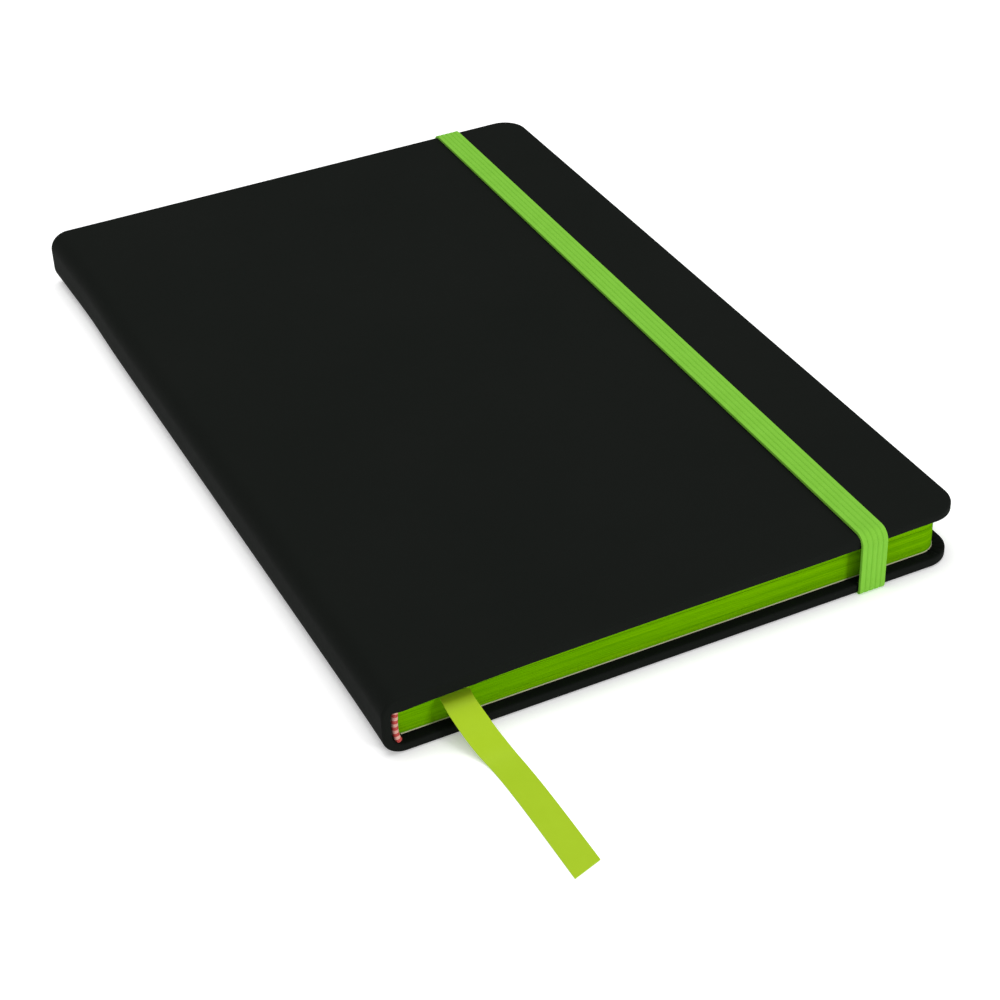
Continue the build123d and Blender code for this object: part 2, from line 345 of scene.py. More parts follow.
class Effects:
    """Shader node groups that several finishes share."""

    def __init__(self) -> None:
        """Build each group once."""
        self.grain = self._grain()
        self.streaks = self._streaks()
        self.weave = self._weave()
        self.mottle = self._mottle()

    def _grain(self) -> bpy.types.NodeTree:
        """Fine pebbled grain of coated cloth: small cells over a soft unevenness."""
        inputs = {"Cell Size": 0.35 * MM, "Softness": 0.5}
        nodes, given, finish = shader_group("Fine Grain", inputs, ("Height", "Mask"))
        scale = nodes.maths("DIVIDE", 1.0, given["Cell Size"])
        vector = given["Vector"]
        cells = nodes.add("ShaderNodeTexVoronoi", {"Vector": vector, "Scale": scale}, feature="SMOOTH_F1")
        wide = nodes.maths("MULTIPLY", scale, 0.22)
        noise = nodes.add("ShaderNodeTexNoise", {"Vector": vector, "Scale": wide, "Detail": 4.0})
        shared = nodes.maths("MULTIPLY", noise.outputs["Fac"], given["Softness"])
        nodes.link(nodes.maths("ADD", cells.outputs["Distance"], shared), finish, "Height")
        nodes.link(noise.outputs["Fac"], finish, "Mask")
        return nodes.tree

    def _streaks(self) -> bpy.types.NodeTree:
        """Long thin lines that lie level, as cut paper edges show."""
        inputs = {"Pitch": 0.18 * MM, "Length": 20 * MM}
        nodes, given, finish = shader_group("Level Streaks", inputs, ("Height", "Mask"))
        along = nodes.maths("DIVIDE", 1.0, given["Length"])
        across = nodes.maths("DIVIDE", 1.0, given["Pitch"])
        scale = nodes.add("ShaderNodeCombineXYZ", {"X": along, "Y": along, "Z": across})
        both = {0: given["Vector"], 1: scale.outputs[0]}
        stretched = nodes.add("ShaderNodeVectorMath", both, operation="MULTIPLY").outputs[0]
        noise = nodes.add("ShaderNodeTexNoise", {"Vector": stretched, "Scale": 1.0, "Detail": 3.0})
        nodes.link(noise.outputs["Fac"], finish, "Height")
        limits = {"Value": noise.outputs["Fac"], "From Min": 0.38, "From Max": 0.66}
        mask = nodes.add("ShaderNodeMapRange", limits)
        nodes.link(mask.outputs["Result"], finish, "Mask")
        return nodes.tree

    def _weave(self) -> bpy.types.NodeTree:
        """Plain weave on a strip's own surface: crossing threads as two sine waves."""
        inputs = {"Warp Pitch": 0.25 * MM, "Weft Pitch": 0.3 * MM}
        nodes, given, finish = shader_group("Plain Weave", inputs, ("Height", "Mask"))
        parts = nodes.add("ShaderNodeSeparateXYZ", {0: given["Vector"]})
        waves = []
        for axis, label in (("X", "Warp Pitch"), ("Y", "Weft Pitch")):
            turns = nodes.maths("DIVIDE", parts.outputs[axis], given[label])
            waves.append(nodes.maths("SINE", nodes.maths("MULTIPLY", turns, math.tau)))
        product = nodes.maths("MULTIPLY", *waves)
        nodes.link(nodes.maths("MULTIPLY_ADD", product, 0.5, 0.5), finish, "Height")
        nodes.link(nodes.maths("MULTIPLY_ADD", waves[1], 0.5, 0.5), finish, "Mask")
        return nodes.tree

    def _mottle(self) -> bpy.types.NodeTree:
        """Slow cloudy unevenness, for dye, dust and handling."""
        nodes, given, finish = shader_group("Mottle", {"Size": 20 * MM, "Contrast": 0.5}, ("Mask",))
        scale = nodes.maths("DIVIDE", 1.0, given["Size"])
        noise = nodes.add(
            "ShaderNodeTexNoise",
            {"Vector": given["Vector"], "Scale": scale, "Detail": 5.0, "Roughness": 0.6},
        )
        centred = nodes.maths("SUBTRACT", noise.outputs["Fac"], 0.5)
        spread = nodes.maths("MULTIPLY", centred, given["Contrast"])
        nodes.link(nodes.maths("ADD", spread, 0.5, clamp=True), finish, "Mask")
        return nodes.tree


@dataclass(frozen=True)
class Finish:
    """One surface finish: its colours, its gloss and the effect that gives it texture."""

    name: str
    base: Colour
    shade: Colour
    roughness: float
    specular: float
    bump: float
    coordinates: str = "Object"
    sheen: float = 0.0
    sheen_roughness: float = 0.5

    def start(self) -> tuple[bpy.types.Material, NodeBuilder, bpy.types.Node, bpy.types.NodeSocket]:
        """Make the material with its plain sockets set.

        Returns:
            The material, a builder for its tree, its shader and the coordinates it reads.
        """
        material = bpy.data.materials.new(self.name)
        material.use_nodes = True
        nodes = NodeBuilder(material.node_tree)
        shader = material.node_tree.nodes["Principled BSDF"]
        shader.inputs["Base Color"].default_value = self.base
        shader.inputs["Roughness"].default_value = self.roughness
        shader.inputs["Specular IOR Level"].default_value = self.specular
        shader.inputs["Sheen Weight"].default_value = self.sheen
        shader.inputs["Sheen Roughness"].default_value = self.sheen_roughness
        source = nodes.add("ShaderNodeTexCoord")
        return material, nodes, shader, source.outputs[self.coordinates]

    def relief(self, nodes: NodeBuilder, shader: bpy.types.Node, height: object, depth: float) -> None:
        """Feed a height into the shader's normal through a Bump node."""
        bump = nodes.add("ShaderNodeBump", {"Height": height, "Strength": self.bump, "Distance": depth})
        nodes.link(bump.outputs["Normal"], shader, "Normal")


@dataclass(frozen=True)
class LeatherclothFinish(Finish):
    """Near-black soft-touch leathercloth with a fine grain and faintly paler worn places."""

    cell_size: float = 0.32 * MM
    cloud_size: float = 38 * MM
    gloss_range: float = 0.12
    depth: float = 0.05 * MM

    def build(self, effects: Effects) -> bpy.types.Material:
        """Build the material."""
        material, nodes, shader, vector = self.start()
        grain = nodes.group(effects.grain, Vector=vector, Cell_Size=self.cell_size, Softness=0.8)
        cloud = nodes.group(effects.mottle, Vector=vector, Size=self.cloud_size, Contrast=1.1)
        colour = nodes.mix(cloud.outputs["Mask"], self.base, self.shade)
        nodes.link(colour, shader, "Base Color")
        lowest = self.roughness - self.gloss_range / 2
        varied = nodes.maths("MULTIPLY_ADD", grain.outputs["Mask"], self.gloss_range, lowest)
        nodes.link(varied, shader, "Roughness")
        self.relief(nodes, shader, grain.outputs["Height"], self.depth)
        return material


@dataclass(frozen=True)
class PaperFinish(Finish):
    """Uncoated paper with fibres and a slight cloud."""

    fibre_size: float = 0.5 * MM
    cloud_size: float = 9 * MM
    depth: float = 0.03 * MM

    def build(self, effects: Effects) -> bpy.types.Material:
        """Build the material."""
        material, nodes, shader, vector = self.start()
        grain = nodes.group(effects.grain, Vector=vector, Cell_Size=self.fibre_size, Softness=1.0)
        cloud = nodes.group(effects.mottle, Vector=vector, Size=self.cloud_size, Contrast=1.4)
        colour = nodes.mix(cloud.outputs["Mask"], self.base, self.shade)
        nodes.link(colour, shader, "Base Color")
        self.relief(nodes, shader, grain.outputs["Height"], self.depth)
        return material


@dataclass(frozen=True)
class RuledPaperFinish(PaperFinish):
    """Cream page with pale grey writing lines across it."""

    line_pitch: float = 7.0 * MM
    line_width: float = 0.22 * MM
    line_colour: Colour = (0.36, 0.36, 0.31, 1.0)
    dye: Colour = (0.125, 0.335, 0.0, 1.0)
    dye_reach: float = 0.45 * MM
    fore_x: float = 64 * MM
    half_height: float = 102 * MM
    corner_radius: float = 4.7 * MM

    def build(self, effects: Effects) -> bpy.types.Material:
        """Build the material."""
        material = super().build(effects)
        nodes = NodeBuilder(material.node_tree)
        shader = material.node_tree.nodes["Principled BSDF"]
        paper = shader.inputs["Base Color"].links[0].from_socket
        source = nodes.add("ShaderNodeTexCoord")
        parts = nodes.add("ShaderNodeSeparateXYZ", {0: source.outputs["Object"]})
        place = nodes.maths("WRAP", parts.outputs["Y"], self.line_pitch, 0.0)
        line = nodes.maths("LESS_THAN", place, self.line_width)
        ruled = nodes.mix(line, paper, self.line_colour)
        colour = nodes.mix(self.dyed(nodes, parts), ruled, self.dye)
        nodes.link(colour, shader, "Base Color")
        return material

    def dyed(self, nodes: NodeBuilder, parts: bpy.types.Node) -> bpy.types.NodeSocket:
        """Where the edge dye has crept into the page: a thin border along its three cut edges."""
        along = nodes.maths("SUBTRACT", parts.outputs["X"], self.fore_x - self.corner_radius)
        upward = nodes.maths("ABSOLUTE", parts.outputs["Y"])
        upward = nodes.maths("SUBTRACT", upward, self.half_height - self.corner_radius)
        squares = nodes.maths("POWER", nodes.maths("MAXIMUM", along, 0.0), 2.0)
        others = nodes.maths("POWER", nodes.maths("MAXIMUM", upward, 0.0), 2.0)
        reach = nodes.maths("SQRT", nodes.maths("ADD", squares, others))
        return nodes.maths("GREATER_THAN", reach, self.corner_radius - self.dye_reach)


@dataclass(frozen=True)
class DyedEdgeFinish(Finish):
    """Page edges dyed one colour, with the level streaks of cut leaves."""

    pitch: float = 0.16 * MM
    streak_length: float = 26 * MM
    wide_pitch: float = 5
    wide_length: float = 1.6
    fine_share: float = 0.55
    depth: float = 0.05 * MM

    def build(self, effects: Effects) -> bpy.types.Material:
        """Build the material."""
        material, nodes, shader, vector = self.start()
        pitch, length = self.pitch, self.streak_length
        streaks = nodes.group(effects.streaks, Vector=vector, Pitch=pitch, Length=length)
        pitch, length = pitch * self.wide_pitch, length * self.wide_length
        wide = nodes.group(effects.streaks, Vector=vector, Pitch=pitch, Length=length)
        both = nodes.maths("MULTIPLY", streaks.outputs["Mask"], self.fine_share)
        both = nodes.maths("MULTIPLY_ADD", wide.outputs["Mask"], 1 - self.fine_share, both)
        colour = nodes.mix(both, self.shade, self.base)
        nodes.link(colour, shader, "Base Color")
        self.relief(nodes, shader, streaks.outputs["Height"], self.depth)
        return material


@dataclass(frozen=True)
class WovenFinish(Finish):
    """A woven strip, seen on its own surface coordinates."""

    warp_pitch: float = 0.22 * MM
    weft_pitch: float = 0.3 * MM
    depth: float = 0.03 * MM
    cloud_size: float = 4 * MM
    thread_contrast: float = 0.35
    rib_pitch: float = 0.0
    # Strength of the painted shade coloured into the valleys between ribs.
    rib_shade: float = 0.16

    def build(self, effects: Effects) -> bpy.types.Material:
        """Build the material."""
        material, nodes, shader, vector = self.start()
        warp, weft = self.warp_pitch, self.weft_pitch
        weave = nodes.group(effects.weave, Vector=vector, Warp_Pitch=warp, Weft_Pitch=weft)
        cloud = nodes.group(effects.mottle, Vector=vector, Size=self.cloud_size, Contrast=1.0)
        threads = nodes.maths("MULTIPLY", weave.outputs["Height"], self.thread_contrast)
        shared = nodes.maths("MULTIPLY_ADD", cloud.outputs["Mask"], 1 - self.thread_contrast, threads)
        if self.rib_pitch:
            # Painted shade: the valleys between the ribs are darkened in the colour.
            shared = nodes.maths("SUBTRACT", shared, self.ribs(nodes, vector), clamp=True)
        colour = nodes.mix(shared, self.shade, self.base)
        nodes.link(colour, shader, "Base Color")
        self.relief(nodes, shader, weave.outputs["Height"], self.depth)
        return material

    def ribs(self, nodes: NodeBuilder, vector: bpy.types.NodeSocket) -> bpy.types.NodeSocket:
        """Painted shade in the valley between two ribs: how much darker it is coloured than a rib's crown.
        """
        across = nodes.add("ShaderNodeSeparateXYZ", {0: vector}).outputs["X"]
        turns = nodes.maths("DIVIDE", across, self.rib_pitch)
        place = nodes.maths("FRACT", nodes.maths("ADD", turns, 10.5))
        away = nodes.maths("ABSOLUTE", nodes.maths("MULTIPLY_ADD", place, 2.0, -1.0))
        return nodes.maths("MULTIPLY", nodes.maths("POWER", away, 5.0), self.rib_shade * 2)


def finishes(sizes: BookSizes) -> dict[str, Finish]:
    """Every finish of the book, by the name its pieces ask for."""
    cream = (0.63, 0.62, 0.41, 1.0)
    cream_shade = (0.56, 0.55, 0.34, 1.0)
    return {
        "leathercloth": LeatherclothFinish(
            "Cover leathercloth", (0.0062, 0.0076, 0.0064, 1.0), (0.0082, 0.0094, 0.0082, 1.0),
            roughness=0.7, specular=0.02, bump=0.35,
        ),
        "board": PaperFinish(
            "Grey board", (0.30, 0.28, 0.24, 1.0), (0.20, 0.19, 0.17, 1.0),
            roughness=0.9, specular=0.2, bump=0.6, fibre_size=0.8 * MM,
        ),
        "endpaper": PaperFinish(
            "Cream endpaper", cream, cream_shade, roughness=0.85, specular=0.1, bump=0.3,
        ),
        "page": RuledPaperFinish(
            "Ruled cream page", cream, cream_shade, roughness=0.85, specular=0.1, bump=0.2,
            fore_x=sizes.page_fore_x, half_height=sizes.page_half_height,
        ),
        "dyed_edge": DyedEdgeFinish(
            "Lime page edge", (0.185, 0.448, 0.0, 1.0), (0.093, 0.293, 0.0, 1.0),
            roughness=0.8, specular=0.0, bump=0.5,
        ),
        "elastic": WovenFinish(
            "Lime elastic webbing", (0.222, 0.54, 0.052, 1.0), (0.160, 0.440, 0.028, 1.0),
            roughness=0.8, specular=0.1, bump=0.5, coordinates="UV", sheen=0.02,
            warp_pitch=0.32 * MM, weft_pitch=0.42 * MM, depth=0.05 * MM, rib_pitch=1.26 * MM,
        ),
        "ribbon": WovenFinish(
            "Lime satin ribbon", (0.370, 0.548, 0.018, 1.0), (0.328, 0.495, 0.010, 1.0),
            roughness=0.5, specular=0.12, bump=0.35, coordinates="UV", sheen=0.0,
            warp_pitch=0.11 * MM, weft_pitch=0.2 * MM, depth=0.012 * MM,
        ),
        "mull": WovenFinish(
            "Open mull cloth", (0.60, 0.57, 0.48, 1.0), (0.38, 0.36, 0.30, 1.0),
            roughness=0.9, specular=0.15, bump=0.8, warp_pitch=0.9 * MM, weft_pitch=0.9 * MM,
        ),
        "thread": WovenFinish(
            "Waxed thread", (0.68, 0.66, 0.60, 1.0), (0.52, 0.50, 0.44, 1.0),
            roughness=0.6, specular=0.4, bump=0.5, warp_pitch=0.3 * MM, weft_pitch=0.3 * MM,
        ),
        "band_red": WovenFinish(
            "Red headband thread", (0.62, 0.09, 0.08, 1.0), (0.45, 0.05, 0.045, 1.0),
            roughness=0.6, specular=0.2, bump=0.5, warp_pitch=0.2 * MM, weft_pitch=0.2 * MM,
        ),
        "band_white": WovenFinish(
            "White headband thread", (0.84, 0.50, 0.42, 1.0), (0.66, 0.30, 0.25, 1.0),
            roughness=0.6, specular=0.2, bump=0.5, warp_pitch=0.2 * MM, weft_pitch=0.2 * MM,
        ),
    }


# ---------------------------------------------------------------------------------------
# Case: the leathercloth that covers both boards and the spine
# ---------------------------------------------------------------------------------------
@dataclass
class CaseHalf:
    """The skin of one cover and the half of the spine beside it, as one sheet.

    Work is done in flat coordinates (x, y, depth), where depth runs from the cover's outer
    face towards the pages, so that both covers share the same shape.
    """

    sizes: BookSizes
    face: Face
    corner_radius: float = 6.5 * MM
    outer_round: float = 0.7 * MM
    inner_round: float = 0.45 * MM
    spine_radius: float = 4.5 * MM
    spine_wall: float = 2.0 * MM
    joint_width: float = 14.0 * MM
    pinch_depth: float = 0.30 * MM
    pinch_y: float = 78 * MM
    pinch_spread: float = 14 * MM
    end_flare: float = 0.30 * MM
    flare_spread: float = 9 * MM
    rim_sag: float = 0.5 * MM
    rim_width: float = 2.8 * MM
    rim_blend: float = 1.2 * MM
    joint_sag: float = 1.5 * MM
    joint_sag_spread: float = 16 * MM
    sag_end: float = 36 * MM
    sag_fade: float = 28 * MM
    fold_reach: tuple[float, float] = (4.68 * MM, 2.27 * MM)
    skin: float = 0.42 * MM
    turn_in: float = 12.0 * MM
    inner_corner: float = 1.5 * MM
    face_insets: Sequence[float] = (2.4 * MM, 1.9 * MM)
    inner_insets: Sequence[float] = tuple(
        inset * MM for inset in (1.4, 1.9, 2.4, 2.9, 3.6, 4.4, 5.2, 6.2, 8.0, 10.0)
    )
    end_slope: float = 0.2 * MM
    end_drop: float = 0.35 * MM
    pleat_depth: float = 0.16 * MM
    pleat_rise: float = 1.2 * MM
    pleat_fall: float = 4.0 * MM
    pleats: int = 9
    round_steps: int = 8
    spine_steps: int = 16
    front_overhang: float = 0.35 * MM
    back_overhang: float = -0.15 * MM
    wall_steps: int = 5
    straight_steps: int = 44
    arc_steps: int = 40
    fore_steps: int = 70

    @property
    def name(self) -> str:
        """Name of the piece."""
        return f"{self.face.label}_case_cloth"

    @property
    def fore_x(self) -> float:
        """The cover's fore edge: the front cover reaches a little further than the back one."""
        return self.sizes.fore_x + (self.front_overhang if self.face is Face.FRONT else self.back_overhang)

    def place(self, x: float, y: float, depth: float) -> Point:
        """Turn flat coordinates into a point of the frame."""
        if self.face is Face.FRONT:
            return (x, y, self.sizes.top_z - depth)
        return (x, y, depth)

    def pinch(self, y: float) -> float:
        """How far the spine's face sits in from its straight line at y: pinched near the head."""
        hollow = self.pinch_depth * math.exp(-(((y - self.pinch_y) / self.pinch_spread) ** 2))
        from_end = (self.sizes.half_height - abs(y)) / self.flare_spread
        return hollow - self.end_flare * math.exp(-from_end)

    def curve_point(self, turn: float) -> tuple[float, float, float, float]:
        """A point of the curve between spine and cover, with its inward direction."""
        x = self.sizes.spine_x + self.spine_radius * (1 - math.sin(turn))
        depth = self.spine_radius * (1 - math.cos(turn))
        return (x, depth, math.sin(turn), math.cos(turn))

    def spine_profile(self) -> list[tuple[float, float, float, float]]:
        """Points round the spine from its middle to the cover, each with its inward direction.

        Returns:
            Tuples of x, depth, inward x and inward depth.
        """
        middle = self.sizes.middle_z
        points = []
        for step in range(self.wall_steps):
            depth = middle + (self.spine_radius - middle) * step / self.wall_steps
            points.append((self.sizes.spine_x, depth, 1.0, 0.0))
        for step in range(self.spine_steps):
            points.append(self.curve_point(math.pi / 2 * (1 - step / self.spine_steps)))
        return points

    @property
    def board_start(self) -> float:
        """Where the flat of the cover begins, past the spine's curve."""
        return self.sizes.spine_x + self.spine_radius

    def lip(self, x: float, inset: float) -> float:
        """How far the front cover's rim sags past its board, most of all beside the spine."""
        if self.face is Face.BACK:
            return 0.0
        beside = x - self.sizes.spine_x - self.spine_radius
        sag = self.rim_sag + self.joint_sag * math.exp(-max(beside, 0.0) / self.joint_sag_spread)
        fade = 1 - smoothstep((x - self.fore_x + self.sag_end) / self.sag_fade)
        return sag * fade * smoothstep((self.rim_width - inset) / self.rim_blend)

    def thinning(self, x: float) -> float:
        """Share of the cover's thickness at x: the soft joint beside the spine is thinner."""
        thin = self.spine_wall / self.sizes.cover_thickness
        return thin + (1 - thin) * smoothstep((x - self.board_start) / self.joint_width)

    def pleat(self, turn: float, inset: float) -> float:
        """Depth of the small gathers that the turned-in skin makes round a fore corner."""
        rise = smoothstep(inset / self.pleat_rise)
        fall = smoothstep((self.corner_radius - inset) / self.pleat_fall)
        wave = math.sin(turn * self.pleats * 2) + 0.5 * math.sin(turn * self.pleats * 3.3 + 1.1)
        return self.pleat_depth * (rise * fall) * wave

    def tail_side(self, inset: float, depth: float, inner: bool) -> list[Point]:
        """One ring's points from the spine's middle along the tail edge and round its fore corner.

        Args:
            inset: distance in from the book's outline.
            depth: distance in from the outer face, on a cover with its board.
            inner: whether the ring lies on the turned-in face, where the skin has its pleats.

        Returns:
            Flat points (x, y, depth).
        """
        sizes = self.sizes
        y = -sizes.half_height + inset
        thin = self.spine_wall / sizes.cover_thickness
        points = []
        for x, start_depth, inward_x, inward_depth in self.spine_profile():
            share = inward_x * self.pinch(y)
            sag = self.lip(x, inset) * inward_depth**2 if inner else 0.0
            reach = depth * thin
            points.append((x + share + inward_x * reach, y, start_depth + inward_depth * reach + sag))
        radius = max(self.corner_radius - inset, self.inner_corner)
        start_x = self.board_start
        centre_x = self.fore_x - inset - radius
        centre_y = -sizes.half_height + inset + radius
        for step in range(self.straight_steps + 1):
            share = (step / self.straight_steps) ** 1.25
            x = start_x + (centre_x - start_x) * share
            sag = self.lip(x, inset) if inner else 0.0
            points.append((x, y, depth * self.thinning(x) + sag))
        for step in range(1, self.arc_steps + 1):
            turn = -math.pi / 2 * (1 - step / self.arc_steps)
            gather = self.pleat(turn, inset) if inner and step < self.arc_steps else 0.0
            x = centre_x + radius * math.cos(turn)
            points.append((x, centre_y + radius * math.sin(turn), depth + gather))
        return points

    def ring(self, inset: float, depth: float, inner: bool = False) -> list[Point]:
        """A whole ring round the cover's three free edges, from spine to spine."""
        tail = self.tail_side(inset, depth, inner)
        fore_x, first_y, _ = tail[-1]
        fore = []
        for step in range(1, self.fore_steps):
            share = step / self.fore_steps
            fore.append((fore_x, first_y * (1 - 2 * share), depth))
        head = [(x, -y, d) for x, y, d in reversed(tail)]
        return tail + fore + head

    def wrap_rings(self) -> list[tuple[float, float, bool]]:
        """Inset and depth of each ring, from the outer face round the edge to the turn-in's end."""
        thickness = self.sizes.cover_thickness
        rings = [(inset, 0.0, False) for inset in self.face_insets]
        for turn in quarter_turn(self.round_steps):
            aside, inward = 1 - math.sin(turn), 1 - math.cos(turn)
            rings.append((self.outer_round * aside, self.outer_round * inward, False))
        for turn in quarter_turn(self.round_steps):
            aside, inward = 1 - math.sin(turn), 1 - math.cos(turn)
            rings.append((self.inner_round * inward, thickness - self.inner_round * aside, True))
        rings += [(inset, thickness, True) for inset in (*self.inner_insets, self.turn_in)]
        rings.append((self.turn_in + self.end_slope, thickness - self.end_drop, True))
        return rings

    def build(self) -> bpy.types.Object:
        """Build the sheet: outer face, spine and wrapped edges, with the skin's thickness."""
        first = self.ring(*self.wrap_rings()[0])
        spine_count = len(self.spine_profile())
        half_arc = self.arc_steps // 2
        columns = self.straight_steps + half_arc
        rows = self.fore_steps + 2 * half_arc
        tail_start = spine_count
        corner = tail_start + columns
        tail = first[tail_start : corner + 1]
        fore = first[corner : corner + rows + 1]
        head = [(x, -y, d) for x, y, d in tail]
        points: list[Point] = list(first)
        index: dict[tuple[int, int], int] = {}
        last = len(first) - 1
        for column in range(columns + 1):
            index[column, 0] = tail_start + column
            index[column, rows] = last - tail_start - column
        for row in range(rows + 1):
            index[columns, row] = corner + row
        span_y = fore[-1][1] - fore[0][1]
        low_y, high_y = tail[0][1], head[0][1]
        shares = [(point[1] - fore[0][1]) / span_y for point in fore]
        start_x, end_x = tail[0][0], tail[-1][0]
        for row in range(1, rows):
            t = shares[row]
            left_y = low_y + (high_y - low_y) * t
            for column in range(columns):
                s = (tail[column][0] - start_x) / (end_x - start_x)
                x = (1 - s) * start_x + s * fore[row][0] + tail[column][0] - (1 - s) * start_x - s * end_x
                edge_y = (1 - s) * left_y + s * fore[row][1]
                sides_y = (1 - t) * tail[column][1] + t * head[column][1]
                corners_y = (1 - s) * ((1 - t) * low_y + t * high_y)
                corners_y += s * ((1 - t) * tail[-1][1] + t * head[-1][1])
                index[column, row] = len(points)
                points.append((x, edge_y + sides_y - corners_y, 0.0))
        faces = []
        for column in range(columns):
            for row in range(rows):
                corners = ((column, row), (column + 1, row), (column + 1, row + 1), (column, row + 1))
                faces.append(tuple(index[place] for place in corners))
        self._add_spine(points, faces, index, shares, low_y, high_y)
        before = list(range(len(first)))
        for inset, depth, inner in self.wrap_rings()[1:]:
            ring = self.ring(inset, depth, inner)
            after = list(range(len(points), len(points) + len(ring)))
            points.extend(ring)
            for k in range(len(ring) - 1):
                faces.append((before[k], after[k], after[k + 1], before[k + 1]))
            before = after
        placed = [self.place(*point) for point in points]
        if self.face is Face.BACK:
            faces = [tuple(reversed(face)) for face in faces]
        piece = mesh_piece(self.name, placed, faces)
        thicken(piece, self.skin)
        return piece

    def _add_spine(
        self,
        points: list[Point],
        faces: list[tuple[int, ...]],
        index: dict[tuple[int, int], int],
        shares: Sequence[float],
        low_y: float,
        high_y: float,
    ) -> None:
        """Add the rounded spine between the cover's first column and the spine's middle.

        Args:
            points: flat points so far; the spine's are added to them.
            faces: faces so far; the spine's are added to them.
            index: point numbers of the cover's grid.
            shares: each row's share of the way from tail to head.
            low_y: first row's y.
            high_y: last row's y.
        """
        rows = len(shares) - 1
        profile = self.spine_profile()
        side_count = len(profile) + self.straight_steps + 1 + self.arc_steps
        last_first = 2 * side_count + self.fore_steps - 2
        beside = [index[0, row] for row in range(rows + 1)]
        for number in range(len(profile) - 1, -1, -1):
            x, depth, inward_x, _ = profile[number]
            line = [number]
            for row in range(1, rows):
                y = low_y + (high_y - low_y) * shares[row]
                line.append(len(points))
                points.append((x + inward_x * self.pinch(y), y, depth))
            line.append(last_first - number)
            for row in range(rows):
                faces.append((beside[row], beside[row + 1], line[row + 1], line[row]))
            beside = line

    def dress(self, materials: dict[str, bpy.types.Material]) -> bpy.types.Object:
        """Build the half and give it its finish."""
        piece = self.build()
        piece.data.materials.append(materials["leathercloth"])
        along, across = self.fold_reach
        start = self.place(self.sizes.spine_x, 0.0, self.spine_radius)
        end = self.place(self.sizes.spine_x + along, 0.0, self.spine_radius - across)
        f"{self.face.label}_cover"
        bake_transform(piece)
        if self.face is Face.FRONT:
            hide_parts("front_cover_skin", "spine_skin")
        else:
            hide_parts("back_cover_skin")
        return piece


@dataclass
class HingePaper:
    """The fold of endpaper that joins one pastedown to the page block."""

    sizes: BookSizes
    face: Face
    reach: float = 4.35 * MM
    fold: float = 2.45 * MM
    rows: int = 40
    sheet: float = 0.1 * MM
    end_gap: float = 0.1 * MM
    bend_steps: int = 8

    def profile(self) -> list[tuple[float, float]]:
        """The fold's section from the block side round to the cover side, as x and z."""
        sizes = self.sizes
        outward = self.face.value
        leaf_low, leaf_high = (corner[2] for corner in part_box(f"{self.face.label}_flyleaf"))
        paste_low, paste_high = (corner[2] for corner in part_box(f"{self.face.label}_pastedown"))
        near = (leaf_low + leaf_high) / 2
        paste_edge = paste_low if self.face is Face.FRONT else paste_high
        far = paste_edge + outward * (leaf_high - leaf_low) / 2
        middle, radius = (near + far) / 2, abs(far - near) / 2
        start_x = sizes.spine_x + self.reach
        fold_x = sizes.spine_x + self.fold + radius
        points = [(start_x, near), ((start_x + fold_x) / 2, near)]
        for step in range(self.bend_steps + 1):
            turn = math.pi * step / self.bend_steps
            x = fold_x - radius * math.sin(turn)
            points.append((x, middle - outward * radius * math.cos(turn)))
        points += [((start_x + fold_x) / 2, far), (start_x, far)]
        return points

    def dress(self, materials: dict[str, bpy.types.Material]) -> bpy.types.Object:
        """Build the fold and give it paper."""
        profile = self.profile()
        half = self.sizes.page_half_height - self.end_gap
        points = []
        for row in range(self.rows + 1):
            y = -half + 2 * half * row / self.rows
            points.extend((x, y, z) for x, z in profile)
        faces = grid_faces(self.rows + 1, len(profile))
        if self.face is Face.BACK:
            faces = [tuple(reversed(face)) for face in faces]
        piece = mesh_piece(f"{self.face.label}_hinge_paper", points, faces)
        thicken(piece, self.sheet, offset=0.0)
        piece.data.materials.append(materials["endpaper"])
        f"{self.face.label}_cover"
        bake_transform(piece)
        return piece


